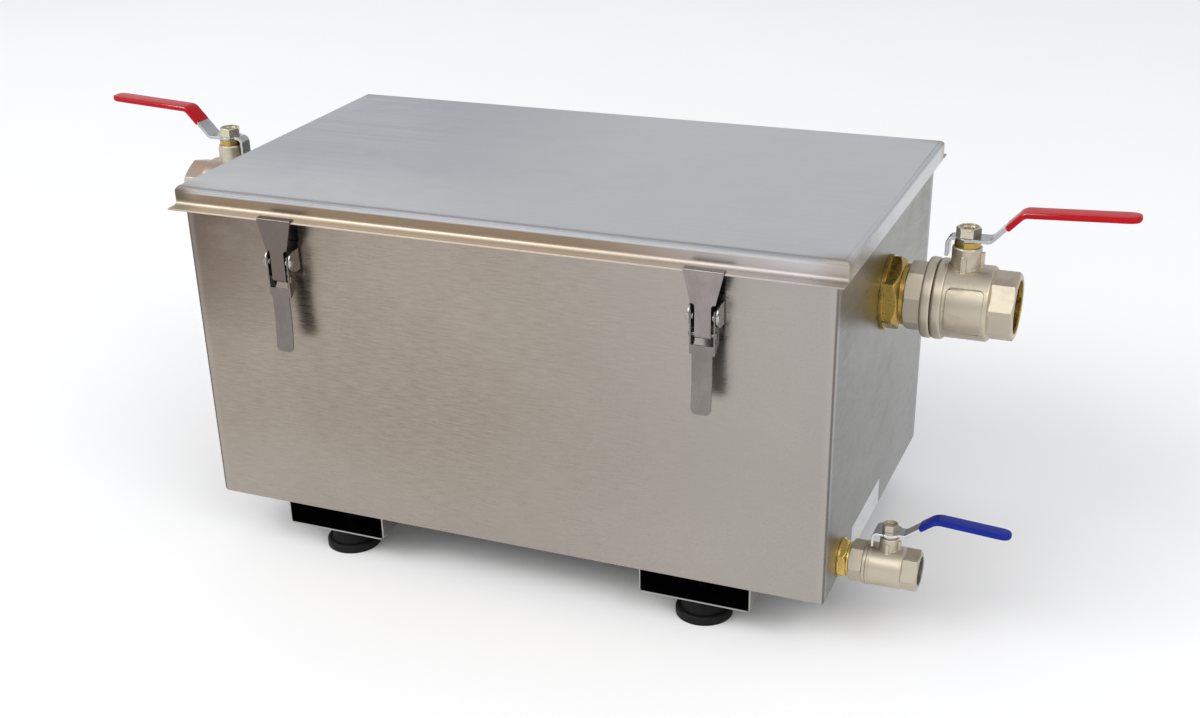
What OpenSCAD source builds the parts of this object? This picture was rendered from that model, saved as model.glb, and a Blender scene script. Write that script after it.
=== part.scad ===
// Grease trap: a folded stainless tank on two channels, with a clamped lid and three ball valves.
// Millimetres. The origin is on the floor under the middle of the tank.
// X runs along the tank towards the outlet, the front faces -Y and Z points up.

/* [Tank] */
// Outside length of the tank over its end walls
tank_length = 585; // [480:5:700]
// Outside width of the tank over its front and rear panels
tank_width = 332; // [280:2:400]
// Height of the walls from the underside of the tank to the rim
tank_height = 292.5; // [280:0.5:340]
// Sheet thickness of the tank and the lid
sheet = 1.5; // [1:0.1:2]
// Inside radius of the folds between the floor and the end walls
fold_r = 1.5; // [1.5:0.5:4]

/* [Lid] */
// Overhang of the lid beyond each end wall
lid_overhang = 7.5; // [5:0.5:12]
// Gap between the long skirts of the lid and the tank
lid_gap = 1.5; // [1:0.25:3]
// Depth of the skirts below the top of the lid
lid_skirt = 18; // [16:0.5:22]
// Depth of the outward lip that the latches grip
lid_lip = 13; // [12:0.5:18]
// Outside radius of the lid's folded edges
lid_edge_r = 5; // [2.5:0.5:6]
// Inside radius of the bend between a skirt and its lip
lid_lip_r = 4; // [1.5:0.5:5]
// Thickness of the rubber seal under the lid
seal_height = 6; // [4:0.5:8]
// Width of the rubber seal
seal_width = 12; // [8:0.5:16]

/* [Channels and feet] */
// Distance between the centres of the two channels
channel_spacing = 352; // [280:2:420]
// How far the pair of channels sits from the middle of the tank towards the outlet
channel_shift = 4; // [-10:0.5:10]
// Outside width of each channel
channel_width = 100; // [80:1:110]
// Height of each channel
channel_height = 22; // [20:0.5:30]
// Sheet thickness of the channels
channel_sheet = 2; // [1.5:0.1:3]
// Inside radius of the folds of the channels
channel_fold_r = 2.5; // [1.5:0.5:4]
// Radius of the rubber feet
foot_r = 25; // [22:0.5:32]
// Height of the rubber feet
foot_height = 25; // [22:1:40]
// Thickness of the flat pad at the bottom of each foot
foot_pad = 8; // [5:0.5:10]
// Distance of the foot centres behind the front and rear faces
foot_inset = 28; // [26:1:60]
// Radius of the foot bolts
foot_bolt_r = 4; // [3:0.5:5]

/* [Latches] */
// Distance between the two latches on each long side
latch_spacing = 383; // [250:1:440]
// Sheet thickness of the hooks and the levers
latch_sheet = 1.2; // [1:0.1:1.5]
// Width of the hook where it grips the lip
hook_width = 33; // [28:0.5:40]
// Width of the hook just above the lever's arms
hook_shoulder = 19; // [17:0.5:24]
// Width of the hook's tongue
tongue_width = 13.5; // [11:0.5:14]
// Height of the hook's top above the lever's pivot
hook_rise = 38.5; // [36:0.5:46]
// Length of the hook's return over the lip
hook_return = 6; // [4:0.5:8]
// Distance from the lever's pivot down to the hook's pin
pin_drop = 15; // [14:0.5:18]
// How far the lever's pivot lies outside the hook's pin when closed
over_centre = 0.8; // [0.4:0.1:1.5]
// Radius of the rivets and the hook's pin
rivet_r = 2; // [1.5:0.1:2.5]
// Outside width of the lever's arms
lever_width = 21; // [20:0.5:24]
// Radius of the lever's arms round the pivot
arm_r = 6.5; // [5.5:0.5:8]
// Drop of the window's lower edge below the hook's pin
window_drop = 8; // [7.5:0.5:10]
// Width of the lever's handle
handle_width = 17; // [14:0.5:19]
// Length of the lever below the hook's pin
lever_reach = 66; // [55:1:80]
// Inside radius of the bend above the lever's tip
lever_bend_r = 8; // [4:0.5:12]
// Radius of the corners of the lever's tip
lever_corner_r = 5; // [3:0.5:7]
// Length of the lever's bent tip
lever_tip = 26; // [18:1:30]
// How far the tip of the lever stands out
lever_kick = 2.5; // [1:0.5:6]
// Radius of the half-round ears of the latch base
ear_r = 9.5; // [8.5:0.5:11]
// Sheet thickness of the latch base
base_sheet = 1.5; // [1:0.1:2]
// Working gap between the moving pieces of a latch
latch_gap = 0.4; // [0.3:0.05:0.5]

/* [Pipe connections] */
// Height of the rim above the inlet's axis
inlet_height = 53.5; // [47.5:1:72.5]
// Height of the rim above the outlet's axis
outlet_height = 78.5; // [62.5:1:112.5]
// Height of the drain's axis above the upper end of the fold between floor and wall
drain_height = 14.5; // [14.5:0.5:60]
// Distance of the drain in front of the middle of the tank
drain_offset = 114; // [60:1:120]
// Thickness of the sealing washers inside the wall
washer_height = 2.5; // [1.5:0.5:4]
// How far the main bushings stand out of the wall
main_bushing_out = 18.5; // [15:0.5:24]
// Radius of the main bushings' flanges
main_flange_r = 32; // [31:0.5:36]
// Thickness of the main bushings' flanges
main_flange = 3.5; // [2:0.5:5]
// Distance across the flats of the main bushings
main_bushing_flats = 57; // [55:0.5:60]
// Thickness of the main backnuts
main_backnut = 9; // [6:0.5:12]
// Wall left outside the main bushings' thread
main_tail_wall = 1.5; // [1:0.1:2]
// How far the drain bushing stands out of the wall
drain_bushing_out = 9; // [8:0.5:14]
// Radius of the drain bushing's flange
drain_flange_r = 17; // [16:0.5:20]
// Thickness of the drain bushing's flange
drain_flange = 2; // [1.5:0.5:3]
// Distance across the flats of the drain bushing
drain_bushing_flats = 30; // [29:0.5:33]
// Thickness of the drain backnut
drain_backnut = 6; // [5:0.5:8]
// Wall left outside the drain bushing's thread
drain_tail_wall = 1.2; // [1:0.1:1.5]

/* [Main valves] */
// Radius of the threaded ports
main_port_r = 22.4; // [20:0.1:23]
// Length from end to end
main_length = 90; // [86:1:100]
// Distance across the flats of the ends
main_flats = 54; // [51:0.5:58]
// Length of the octagon at the inlet end
main_cap_end = 15; // [12:0.5:16]
// Length of the octagon at the outlet end
main_body_end = 20; // [16:0.5:22]
// Width of each of the two rings where cap and body meet
main_ring_width = 9; // [5:0.5:9]
// Radius of the two rings
main_ring_r = 34; // [33:0.5:37]
// Radius of the barrel
main_barrel_r = 31.5; // [30:0.5:33]
// Distance of the stem behind the inlet end
main_stem_x = 45; // [44.5:0.5:48]
// Radius of the ball
main_ball_r = 24; // [23.5:0.1:24.5]
// Radius of the waterway
main_way_r = 17.5; // [15:0.5:18]
// Radius of the boss round the stem
main_boss_r = 12.2; // [11:0.1:14]
// Height of the boss above the axis
main_boss_top = 48.3; // [45:0.1:55]
// Height of the gland ring above the boss
main_gland = 5; // [3:0.5:7]
// Radius of the stem
main_stem_r = 6; // [5:0.25:7]
// Distance across the flats of the nut on the handle
main_nut_flats = 18; // [17:0.5:20]
// Height of the nut on the handle
main_nut_height = 8; // [7:0.5:11]
// Length of the handle from the stem to its tip
main_handle_length = 132; // [110:1:160]
// Width of the handle round the stem
main_plate_width = 22; // [20:0.5:26]
// Width of the handle's bar
main_bar_width = 18; // [14:0.5:20]
// Thickness of the handle's bar
main_bar = 2.8; // [2.4:0.1:4]
// Distance of the handle's stop tab from the stem
main_tab_x = 15.7; // [15:0.1:19]
// Width of the stop tab
main_tab_width = 13; // [10:0.5:20]
// Length of the stop tab
main_tab_drop = 15.5; // [12:0.5:17]
// Distance from the stem to the handle's lower bend
main_bend_x = 19; // [17:0.5:24]
// Distance from the stem to the handle's upper bend
main_elbow_x = 43; // [38:0.5:50]
// Height of the handle's upper bend above its plate
main_elbow_rise = 26; // [20:0.5:32]
// Height of the handle's tip above its plate
main_tip_rise = 30; // [22:0.5:38]
// Inside radius of the upper bend
main_elbow_r = 7; // [4:0.5:10]
// Width of the grip
main_grip_width = 20.5; // [19:0.5:24]
// Thickness of the grip
main_grip = 4.8; // [4.4:0.1:7]
// Thickness of the ring seats
main_seat = 4.5; // [4:0.5:5]
// Turn of the octagon at the inlet end
main_cap_turn = 31.5; // [0:0.5:45]
// Turn of the octagon at the outlet end
main_body_turn = 36.5; // [0:0.5:45]

/* [Drain valve] */
// Radius of the threaded ports
drain_port_r = 12.05; // [11:0.05:12.5]
// Length from end to end
drain_length = 58; // [56:1:66]
// Distance across the flats of the ends
drain_flats = 31; // [30:0.5:34]
// Length of the hexagon at the inlet end
drain_cap_end = 12; // [10:0.5:13]
// Length of the hexagon at the outlet end
drain_body_end = 13; // [11:0.5:14]
// Width of each of the two rings where cap and body meet
drain_ring_width = 3; // [2.5:0.5:4]
// Radius of the two rings
drain_ring_r = 18.5; // [18:0.25:20]
// Radius of the barrel
drain_barrel_r = 18; // [17:0.25:19]
// Distance of the stem behind the inlet end
drain_stem_x = 31; // [30.5:0.5:31.5]
// Radius of the ball
drain_ball_r = 13.2; // [12.8:0.1:13.5]
// Radius of the waterway
drain_way_r = 9; // [7.5:0.25:9.5]
// Radius of the boss round the stem
drain_boss_r = 8; // [7.5:0.25:9]
// Height of the boss above the axis
drain_boss_top = 28; // [25:0.5:32]
// Height of the gland ring above the boss
drain_gland = 3.5; // [2.5:0.5:5]
// Radius of the stem
drain_stem_r = 4; // [3.5:0.25:4.5]
// Distance across the flats of the nut on the handle
drain_nut_flats = 12; // [11:0.5:15]
// Height of the nut on the handle
drain_nut_height = 6; // [5:0.5:8]
// Length of the handle from the stem to its tip
drain_handle_length = 97; // [80:1:120]
// Width of the handle round the stem
drain_plate_width = 22; // [18:0.5:24]
// Width of the handle's bar
drain_bar_width = 13.5; // [11:0.5:16]
// Thickness of the handle's bar
drain_bar = 2.2; // [1.8:0.1:3]
// Distance of the handle's stop tab from the stem
drain_tab_x = 12.5; // [12:0.1:15]
// Width of the stop tab
drain_tab_width = 20; // [10:0.5:22]
// Length of the stop tab
drain_tab_drop = 12; // [9:0.5:13]
// Distance from the stem to the handle's lower bend
drain_bend_x = 13; // [12:0.5:18]
// Distance from the stem to the handle's upper bend
drain_elbow_x = 37; // [32:0.5:44]
// Height of the handle's upper bend above its plate
drain_elbow_rise = 18.5; // [14:0.5:22]
// Height of the handle's tip above its plate
drain_tip_rise = 15; // [10:0.5:22]
// Inside radius of the upper bend
drain_elbow_r = 12; // [4:0.5:15]
// Width of the grip
drain_grip_width = 16.5; // [15:0.5:20]
// Thickness of the grip
drain_grip = 4.6; // [3.8:0.1:6]
// Thickness of the ring seats
drain_seat = 3.2; // [2.8:0.1:3.6]
// Turn of the hexagon at the inlet end
drain_cap_turn = 30; // [0:0.5:60]
// Turn of the hexagon at the outlet end
drain_body_turn = 38; // [0:0.5:60]

/* [Inside] */
// Clear distance from the inlet wall to the inlet baffle
inlet_bay = 140; // [110:1:180]
// Clear distance from the outlet wall to the outlet baffle
outlet_bay = 95; // [70:1:140]
// Gap between the floor and the baffles
baffle_floor_gap = 60; // [30:1:90]
// Gap between the rim and the top of the baffles
baffle_rim_gap = 25; // [10:1:60]
// Width of the flanges that hold the baffles to the panels
baffle_flange = 15; // [10:1:25]
// Gap all round the sides of the solids basket
basket_gap = 12; // [8:1:25]
// Distance of the basket's rim below the inlet's axis
basket_drop = 60; // [50:1:90]
// Sheet thickness of the basket
basket_sheet = 1; // [0.8:0.1:1.5]
// Width of the basket's slots
basket_slot = 6; // [4:0.5:10]
// Distance from slot to slot
basket_pitch = 24; // [16:1:40]

/* [Hidden] */
// Smoothness of round faces
$fn = 48;
// Segments in the arc of one fold
FOLD_STEPS = 8;
// Size of the round face on a chamfered nut or end, as a share of the distance across its flats
FACE_SHARE = 0.96;
// Clearance of a spigot in its bore, and of a stem in its hole
fit_gap = 0.06;
// Clearance of a fastener in its hole
bolt_gap = 0.25;
// Gap between sealed faces that turn past each other
turn_gap = 0.3;

tank_z = foot_height + channel_height;
rim_z = tank_z + tank_height;
lid_z = rim_z + seal_height + sheet;
skirt_z = lid_z - lid_skirt;
wall_x = tank_length / 2;
wall_y = tank_width / 2;
inner_x = wall_x - sheet;
inner_y = wall_y - sheet;
lid_length = tank_length + 2 * lid_overhang;
lid_width = tank_width + 2 * (lid_gap + sheet);
foot_x = channel_spacing / 2;
drain_z = tank_z + sheet + fold_r + drain_height;
foot_y = wall_y - foot_inset;
bolt_flats = 3.25 * foot_bolt_r;
bolt_head = 1.4 * foot_bolt_r;
nut_height = 1.6 * foot_bolt_r;

// A latch is drawn at the front, with y = 0 on the wall and -y pointing out
lip_reach = lid_gap + sheet + lid_lip;
hook_in = lip_reach + latch_gap;
hook_out = hook_in + latch_sheet;
curl_r = rivet_r + fit_gap + latch_sheet;
pin_out = hook_out + fit_gap - curl_r;
pivot_out = pin_out + over_centre;
hook_under = skirt_z + sheet + latch_gap;
hook_top = hook_under + latch_sheet;
pivot_z = hook_top - hook_rise;
pin_z = pivot_z - pin_drop;
lever_out = hook_out + 2 * latch_gap;
window_z = pin_z - window_drop;
tip_z = pin_z - lever_reach;
shoulder_z = pivot_z + arm_r + 4 * latch_gap;
arm_in = lever_width / 2 - latch_sheet;
ear_in = lever_width / 2 + latch_gap;
ear_out = ear_in + base_sheet;
head_r = 1.8 * rivet_r;
head_height = 0.8 * rivet_r;

// Places in the list of sizes that describes a valve
PORT = 0;
LENGTH = 1;
FLATS = 2;
SIDES = 3;
CAP_END = 4;
BODY_END = 5;
RING_W = 6;
RING = 7;
BARREL = 8;
STEM_X = 9;
BALL = 10;
WAY = 11;
BOSS = 12;
BOSS_TOP = 13;
GLAND = 14;
STEM = 15;
NUT = 16;
NUT_H = 17;
REACH = 18;
PLATE_W = 19;
BAR_W = 20;
BAR_T = 21;
TAB_X = 22;
TAB_W = 23;
TAB_DROP = 24;
BEND_X = 25;
ELBOW = 26;
TIP_RISE = 27;
ELBOW_R = 28;
GRIP_W = 29;
GRIP_T = 30;
SEAT = 31;
CAP_TURN = 32;
BODY_TURN = 33;

MAIN = [main_port_r, main_length, main_flats, 8, main_cap_end, main_body_end, main_ring_width,
    main_ring_r, main_barrel_r, main_stem_x, main_ball_r, main_way_r, main_boss_r, main_boss_top,
    main_gland, main_stem_r, main_nut_flats, main_nut_height, main_handle_length,
    main_plate_width, main_bar_width, main_bar, main_tab_x, main_tab_width, main_tab_drop,
    main_bend_x, [main_elbow_x, main_elbow_rise], main_tip_rise, main_elbow_r,
    main_grip_width, main_grip, main_seat, main_cap_turn, main_body_turn];
DRAIN = [drain_port_r, drain_length, drain_flats, 6, drain_cap_end, drain_body_end, drain_ring_width,
    drain_ring_r, drain_barrel_r, drain_stem_x, drain_ball_r, drain_way_r, drain_boss_r, drain_boss_top,
    drain_gland, drain_stem_r, drain_nut_flats, drain_nut_height, drain_handle_length,
    drain_plate_width, drain_bar_width, drain_bar, drain_tab_x, drain_tab_width, drain_tab_drop,
    drain_bend_x, [drain_elbow_x, drain_elbow_rise], drain_tip_rise, drain_elbow_r,
    drain_grip_width, drain_grip, drain_seat, drain_cap_turn, drain_body_turn];

// Places in the list of sizes that describes a bushing
OUT = 0;
FLANGE = 1;
FLANGE_T = 2;
HEX = 3;
BACKNUT = 4;
TAIL = 5;

MAIN_BUSHING = [main_bushing_out, main_flange_r, main_flange, main_bushing_flats, main_backnut,
    main_port_r + main_tail_wall];
DRAIN_BUSHING = [drain_bushing_out, drain_flange_r, drain_flange, drain_bushing_flats, drain_backnut,
    drain_port_r + drain_tail_wall];

STEEL = [0.72, 0.69, 0.65];
BRIGHT = [0.78, 0.78, 0.78];
NICKEL = [0.75, 0.72, 0.66];
BRASS = [0.78, 0.62, 0.24];
RUBBER = [0.05, 0.05, 0.05];
SEAL = [0.25, 0.25, 0.25];
PTFE = [0.93, 0.93, 0.91];
RED = [0.78, 0.07, 0.12];
BLUE = [0.10, 0.16, 0.55];

// A line of points with rounded corners, shifted sideways by off (left of its direction is positive)
function unit(v) = v / norm(v);
function left_of(v) = [-v[1], v[0]];
function turned(v, a) = [v[0] * cos(a) - v[1] * sin(a), v[0] * sin(a) + v[1] * cos(a)];
function fold_corner(a, b, c, r, off) =
    let (d0 = unit(b - a), d1 = unit(c - b), side = sign(cross(d0, d1)), bend = acos(d0 * d1))
    let (centre = b - d0 * r * tan(bend / 2) + side * r * left_of(d0))
    let (spoke = -side * left_of(d0) * (r - side * off))
    [for (k = [0 : FOLD_STEPS]) centre + turned(spoke, side * bend * k / FOLD_STEPS)];
function fold_line(pts, radii, off) = let (last = len(pts) - 1)
    concat([pts[0] + off * left_of(unit(pts[1] - pts[0]))],
        [for (i = [1 : 1 : last - 1]) each fold_corner(pts[i - 1], pts[i], pts[i + 1], radii[i - 1], off)],
        [pts[last] + off * left_of(unit(pts[last] - pts[last - 1]))]);
function backwards(list) = [for (i = [len(list) - 1 : -1 : 0]) list[i]];

// Section of a folded strip along the middle line pts; r is the inside radius of all folds, or a list of them
module folded(pts, t, r) {
    radii = [for (i = [0 : 1 : len(pts) - 3]) (is_list(r) ? r[i] : r) + t / 2];
    polygon(concat(fold_line(pts, radii, t / 2), backwards(fold_line(pts, radii, -t / 2))));
}

// Extrude a section along one axis, centred: x and y of the section become Y and Z, or X and Z
module along_x(length) {
    rotate([90, 0, 90]) linear_extrude(length, center = true) children();
}
module along_y(length) {
    rotate([90, 0, 0]) linear_extrude(length, center = true) children();
}

// Cylinder and prism lying along X from x0 to x1
module rod_x(r, x0, x1) {
    translate([x0, 0, 0]) rotate([0, 90, 0]) cylinder(r = r, h = x1 - x0);
}
module prism_x(flats, sides, x0, x1, turn = 0) {
    translate([x0, 0, 0]) rotate([turn, 0, 0]) rotate([0, 90, 0])
        cylinder(r = flats / 2 / cos(180 / sides), h = x1 - x0, $fn = sides);
}
// Round body about X from a section of [radius, x] points
module turned_x(section) {
    rotate([0, 90, 0]) rotate_extrude() polygon(section);
}

// Hexagon nut about Z with chamfered corners, bored for a thread
module nut(flats, height, bore_r) {
    corner_r = flats / 2 / cos(30);
    outer_r = corner_r + 1;
    face_r = FACE_SHARE * flats / 2;
    chamfer = (outer_r - face_r) / 2;
    difference() {
        intersection() {
            cylinder(r = corner_r, h = height, $fn = 6);
            rotate_extrude() polygon([[0, 0], [outer_r, 0], [outer_r, height - chamfer],
                [face_r, height], [0, height]]);
        }
        translate([0, 0, -1]) cylinder(r = bore_r, h = height + 2);
    }
}

// Rectangle with its two upper corners rounded, standing on y = 0
module arched(width, height, r) {
    translate([-width / 2, 0]) square([width, height - r]);
    translate([-width / 2 + r, 0]) square([width - 2 * r, height]);
    for (side = [-1, 1]) translate([side * (width / 2 - r), height - r]) circle(r);
}

// Tank: one sheet folded into the two end walls and the floor, closed by two panels

module at_inlet() { translate([-wall_x, 0, rim_z - inlet_height]) rotate([0, 0, 180]) children(); }
module at_outlet() { translate([wall_x, 0, rim_z - outlet_height]) children(); }
module at_drain() { translate([wall_x, -drain_offset, drain_z]) children(); }

module tank_wrap() {
    color(STEEL) difference() {
        along_y(2 * inner_y) folded([[-wall_x + sheet / 2, rim_z], [-wall_x + sheet / 2, tank_z + sheet / 2],
            [wall_x - sheet / 2, tank_z + sheet / 2], [wall_x - sheet / 2, rim_z]], sheet, fold_r);
        at_inlet() rod_x(MAIN_BUSHING[TAIL] + bolt_gap, -2 * sheet, sheet);
        at_outlet() rod_x(MAIN_BUSHING[TAIL] + bolt_gap, -2 * sheet, sheet);
        at_drain() rod_x(DRAIN_BUSHING[TAIL] + bolt_gap, -2 * sheet, sheet);
    }
}

// Flat panel with its lower corners rounded to the folds of the wrap
module panel(y) {
    r = fold_r + sheet;
    color(STEEL) translate([0, y, 0]) along_y(sheet) translate([0, rim_z]) mirror([0, 1])
        arched(tank_length, tank_height, r);
}
module front_panel() { panel(-wall_y + sheet / 2); }
module rear_panel() { panel(wall_y - sheet / 2); }

// Lid: a pan with rounded edges; its long skirts end in outward lips
module lid_block(length, width, height, r) {
    intersection() {
        along_x(length) arched(width, height, r);
        along_y(width) arched(length, height, r);
    }
}
// Room inside the lid, grown down by more and shrunk by gap
module lid_room(more, gap) {
    inset = 2 * (sheet + gap);
    translate([0, 0, skirt_z - more])
        lid_block(lid_length - inset, lid_width - inset, lid_skirt - sheet + more, lid_edge_r - sheet);
}
module lid() {
    lip_y = lid_width / 2 - sheet / 2;
    lip_top = skirt_z + lid_lip_r + 2 * sheet;
    color(BRIGHT) {
        difference() {
            translate([0, 0, skirt_z]) lid_block(lid_length, lid_width, lid_skirt, lid_edge_r);
            lid_room(1, 0);
            for (side = [-1, 1]) translate([0, side * lid_width / 2, skirt_z])
                cube([2 * lid_length, 2 * sheet, 2 * (lip_top - skirt_z)], center = true);
        }
        for (side = [-1, 1]) along_x(lid_length) scale([side, 1])
            folded([[-lip_y, lip_top], [-lip_y, skirt_z + sheet / 2],
                [-lip_y - sheet / 2 - lid_lip, skirt_z + sheet / 2]], sheet, lid_lip_r);
    }
}

// Rubber seal stuck under the lid, on the rim of the tank, trimmed to the round edges inside the lid
module lid_seal() {
    color(SEAL) intersection() {
        translate([0, 0, rim_z]) linear_extrude(seal_height) difference() {
            square([tank_length, tank_width], center = true);
            square([tank_length - 2 * seal_width, tank_width - 2 * seal_width], center = true);
        }
        lid_room(0, fit_gap);
    }
}

// Channels, rubber feet and their bolts

module each_foot() {
    for (x = [-foot_x, foot_x], y = [-foot_y, foot_y]) translate([x + channel_shift, y, 0]) children();
}
module channel(x) {
    side = channel_width / 2 - channel_sheet / 2;
    web = foot_height + channel_sheet / 2;
    color(STEEL) difference() {
        translate([x + channel_shift, 0, 0]) along_y(tank_width)
            folded([[-side, tank_z], [-side, web], [side, web], [side, tank_z]], channel_sheet, channel_fold_r);
        each_foot() cylinder(r = foot_bolt_r + bolt_gap, h = tank_z);
    }
}
module channel_left() { channel(-foot_x); }
module channel_right() { channel(foot_x); }

module rubber_feet() {
    recess_r = bolt_flats / 2 / cos(30) + 1;
    recess = bolt_head + 2;
    neck_r = 0.6 * foot_r;
    round_r = foot_pad / 3;
    color(RUBBER) each_foot() rotate_extrude() difference() {
        union() {
            square([foot_r - round_r, foot_pad]);
            square([foot_r, foot_pad - round_r]);
            translate([foot_r - round_r, foot_pad - round_r]) circle(round_r);
            polygon([[0, foot_pad], [0.8 * foot_r, foot_pad], [neck_r, foot_height], [0, foot_height]]);
        }
        translate([-1, -1]) square([1 + foot_bolt_r + bolt_gap, foot_height + 2]);
        translate([-1, -1]) square([1 + recess_r, 1 + recess]);
    }
}
module foot_bolts() {
    recess = bolt_head + 2;
    color(BRIGHT) each_foot() translate([0, 0, recess - bolt_head]) {
        cylinder(r = bolt_flats / 2 / cos(30), h = bolt_head, $fn = 6);
        cylinder(r = foot_bolt_r, h = foot_height + channel_sheet + nut_height + 2 - recess + bolt_head);
    }
}
module foot_nuts() {
    color(BRIGHT) each_foot() translate([0, 0, foot_height + channel_sheet])
        nut(bolt_flats, nut_height, foot_bolt_r + fit_gap);
}

// Latches: base on the wall, lever on two rivets, hook on the lever's pin

module at_latch(x_side, y_side) {
    rotate([0, 0, y_side < 0 ? 0 : 180]) translate([-x_side * y_side * latch_spacing / 2, -wall_y, 0])
        children();
}
// Cylinder along X through the pivot or the pin of a latch
module latch_pin(out, z, r, x0, x1) {
    translate([0, -out, z]) rod_x(r, x0, x1);
}
module latch_base() {
    ear_centre = lever_out - ear_r;
    color(BRIGHT) difference() {
        union() {
            translate([-ear_out, -base_sheet, pivot_z - 1.6 * ear_r])
                cube([2 * ear_out, base_sheet, 3.2 * ear_r]);
            for (side = [-1, 1]) translate([side * (ear_in + base_sheet / 2), 0, pivot_z]) along_x(base_sheet)
                intersection() {
                    translate([-lever_out, -ear_r]) square([lever_out, 2 * ear_r]);
                    union() {
                        translate([-ear_centre, 0]) circle(ear_r);
                        translate([-ear_centre, -ear_r]) square([ear_centre, 2 * ear_r]);
                    }
                }
        }
        latch_pin(pivot_out, pivot_z, rivet_r, -ear_out - 1, ear_out + 1);
    }
}
module latch_lever() {
    web = lever_out - latch_sheet / 2;
    arm_z = window_z - 1.2 * arm_r;
    color(BRIGHT) {
        difference() {
            for (side = [-1, 1]) translate([side * (arm_in + latch_sheet / 2), 0, 0]) along_x(latch_sheet)
                intersection() {
                    union() {
                        translate([-pivot_out, pivot_z]) circle(arm_r);
                        polygon([[-lever_out, pivot_z], [-pivot_out + arm_r, pivot_z],
                            [-pin_out + arm_r, pin_z], [-pin_out + arm_r, window_z],
                            [-lever_out + latch_sheet, arm_z], [-lever_out, arm_z]]);
                    }
                    translate([-lever_out, arm_z]) square([2 * lever_out, lever_out + pivot_z]);
                }
            latch_pin(pivot_out, pivot_z, rivet_r + fit_gap, -lever_width, lever_width);
        }
        translate([-lever_width / 2, -lever_out, arm_z]) cube([lever_width, latch_sheet, window_z - arm_z]);
        intersection() {
            along_x(handle_width) folded([[-web, window_z], [-web, tip_z + lever_tip],
                [-web - lever_kick, tip_z]], latch_sheet, lever_bend_r);
            translate([0, 0, window_z]) mirror([0, 0, 1]) along_y(4 * lever_out)
                arched(handle_width, window_z - tip_z, lever_corner_r);
        }
        latch_pin(pin_out, pin_z, rivet_r, -lever_width / 2, lever_width / 2);
        for (side = [0, 180]) translate([0, -pin_out, pin_z]) rotate([0, 0, side]) rivet_head(lever_width / 2);
    }
}
// Domed head about X whose flat side is at x
module rivet_head(x) {
    turned_x([for (k = [0 : FOLD_STEPS]) let (a = 90 * k / FOLD_STEPS)
        [head_r * cos(a), x + head_height * sin(a)], [0, x]]);
}
module latch_hook() {
    middle = hook_in + latch_sheet / 2;
    color(BRIGHT) difference() {
        union() {
            intersection() {
                along_x(hook_width) folded([[-middle + hook_return, hook_under + latch_sheet / 2],
                    [-middle, hook_under + latch_sheet / 2], [-middle, pin_z]], latch_sheet, latch_sheet / 2);
                along_y(4 * lever_out) hook_outline();
            }
            translate([0, -pin_out, pin_z]) rod_x(curl_r, -tongue_width / 2, tongue_width / 2);
        }
        latch_pin(pin_out, pin_z, rivet_r + fit_gap, -tongue_width, tongue_width);
    }
}
// Front view of the hook: a tapered plate with rounded shoulders above a narrow tongue
module hook_outline() {
    notch = (hook_shoulder - tongue_width) / 2;
    translate([-tongue_width / 2, pin_z]) square([tongue_width, hook_top - pin_z]);
    difference() {
        polygon([[-hook_shoulder / 2, shoulder_z], [hook_shoulder / 2, shoulder_z],
            [hook_width / 2, hook_under - latch_sheet], [hook_width / 2, hook_top],
            [-hook_width / 2, hook_top], [-hook_width / 2, hook_under - latch_sheet]]);
        for (side = [-1, 1]) translate([side * hook_shoulder / 2, shoulder_z]) circle(notch);
    }
}
// Lever rivets: one through each ear, with a head outside and a flared end inside the lever's arm
module latch_rivets() {
    flare = arm_in - latch_gap;
    color(BRIGHT) for (x_side = [-1, 1], y_side = [-1, 1]) at_latch(x_side, y_side)
        for (side = [0, 180]) translate([0, -pivot_out, pivot_z]) rotate([0, 0, side]) {
            rod_x(rivet_r, flare, ear_out);
            rod_x(1.4 * rivet_r, flare - latch_gap * 2, flare);
            rivet_head(ear_out);
        }
}

module latch_base_front_left() { at_latch(-1, -1) latch_base(); }
module latch_lever_front_left() { at_latch(-1, -1) latch_lever(); }
module latch_hook_front_left() { at_latch(-1, -1) latch_hook(); }
module latch_base_front_right() { at_latch(1, -1) latch_base(); }
module latch_lever_front_right() { at_latch(1, -1) latch_lever(); }
module latch_hook_front_right() { at_latch(1, -1) latch_hook(); }
module latch_base_rear_left() { at_latch(-1, 1) latch_base(); }
module latch_lever_rear_left() { at_latch(-1, 1) latch_lever(); }
module latch_hook_rear_left() { at_latch(-1, 1) latch_hook(); }
module latch_base_rear_right() { at_latch(1, 1) latch_base(); }
module latch_lever_rear_right() { at_latch(1, 1) latch_lever(); }
module latch_hook_rear_right() { at_latch(1, 1) latch_hook(); }

// Bushings through the wall, drawn with x = 0 on the outside of the wall

module bushing(v, b) {
    spigot = v[CAP_END] + 2;
    tail = sheet + washer_height + b[BACKNUT] + 3;
    collar = 0.12 * b[OUT];
    hex_end = b[OUT] - 1.5 * collar;
    color(BRASS) difference() {
        union() {
            rod_x(b[TAIL], -tail, 0);
            rod_x(b[FLANGE], 0, b[FLANGE_T]);
            intersection() {
                prism_x(b[HEX], 6, b[FLANGE_T], hex_end);
                turned_x([[0, 0], [b[FLANGE], 0], [b[FLANGE], hex_end - 2 * collar],
                    [FACE_SHARE * b[HEX] / 2, hex_end], [0, hex_end]]);
            }
            rod_x(v[PORT] + 1.5 * collar, hex_end, b[OUT]);
            rod_x(v[PORT] - fit_gap, b[OUT], b[OUT] + spigot);
        }
        rod_x(v[WAY], -tail - 1, b[OUT] + spigot + 1);
    }
}
module inlet_bushing() { at_inlet() bushing(MAIN, MAIN_BUSHING); }
module outlet_bushing() { at_outlet() bushing(MAIN, MAIN_BUSHING); }
module drain_bushing() { at_drain() bushing(DRAIN, DRAIN_BUSHING); }

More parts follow.
